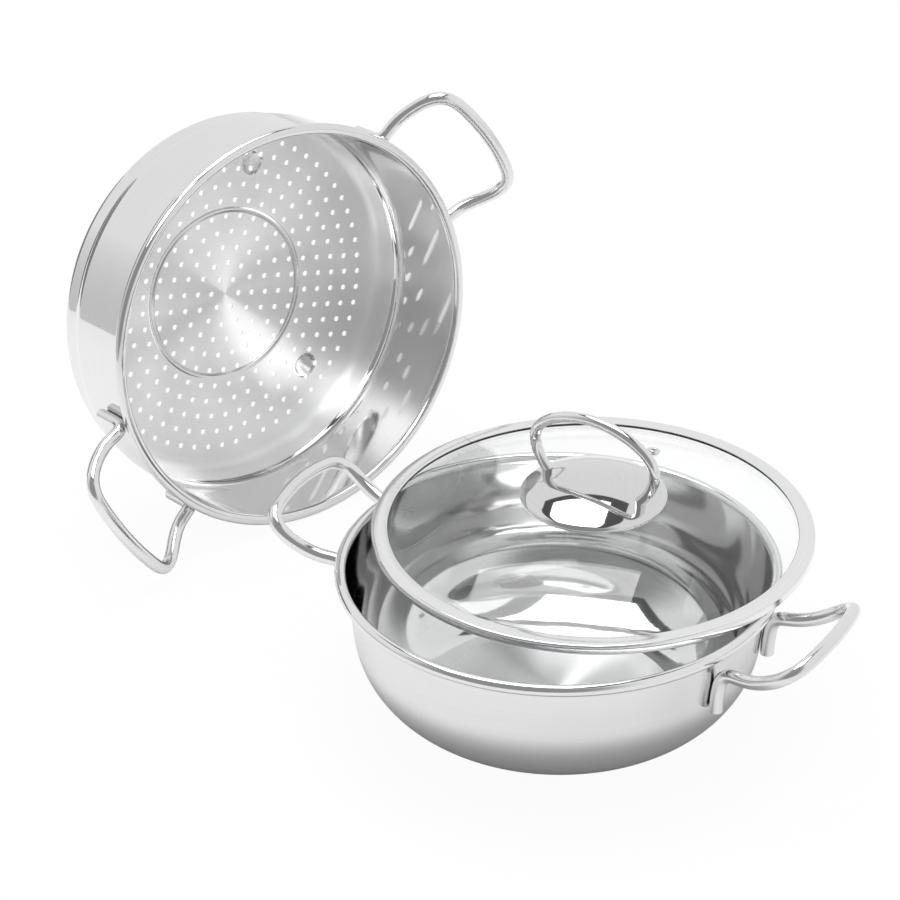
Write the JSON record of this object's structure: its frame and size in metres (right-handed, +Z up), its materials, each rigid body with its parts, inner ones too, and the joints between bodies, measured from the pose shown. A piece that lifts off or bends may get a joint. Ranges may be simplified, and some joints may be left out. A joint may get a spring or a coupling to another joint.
{
  "type": "steamer pot",
  "caption": "Stainless steel steamer set: low round pot with rod handles, domed glass lid slid back on it, and a perforated steamer tier lying on its side.",
  "frame": {"origin": "middle of the pot's base, on the table", "axes": "+Z up along the pot's axis, +X out through the pot's right handle, +Y towards the side the lid is slid to"},
  "size_m": [0.5367, 0.3872, 0.2522],
  "materials": {
    "polished_steel": "mirror polished stainless steel",
    "brushed_steel": "sunray brushed stainless steel",
    "core": "plain",
    "glass": "clear tempered",
    "silicone": "milky silicone"
  },
  "bodies": {
    "pot": {"pot_body": "polished_steel", "pot_base_core": "core", "pot_base_cap": "brushed_steel", "pot_handle_right": "polished_steel", "pot_handle_left": "polished_steel"},
    "steamer": {"steamer_wall": "polished_steel", "steamer_floor": "brushed_steel", "steamer_handle_right": "polished_steel", "steamer_handle_left": "polished_steel"},
    "lid": {"lid_glass": "glass", "lid_rim_band": "polished_steel", "lid_vent_eyelet": "polished_steel", "lid_knob_cap": "polished_steel", "lid_knob_loop": "polished_steel", "lid_knob_boss": "polished_steel", "lid_knob_seal_upper": "silicone", "lid_knob_seal_lower": "silicone", "lid_knob_washer": "polished_steel", "lid_knob_screw": "polished_steel"}
  },
  "joints": [
    {"name": "lid_lift", "type": "slide", "parent": "pot", "child": "lid", "axis": [0, 0, 1], "range_m": [0, 0.15]},
    {"name": "steamer_lift", "type": "slide", "parent": "pot", "child": "steamer", "axis": [0, 0, 1], "range_m": [0, 0.2]}
  ]
}
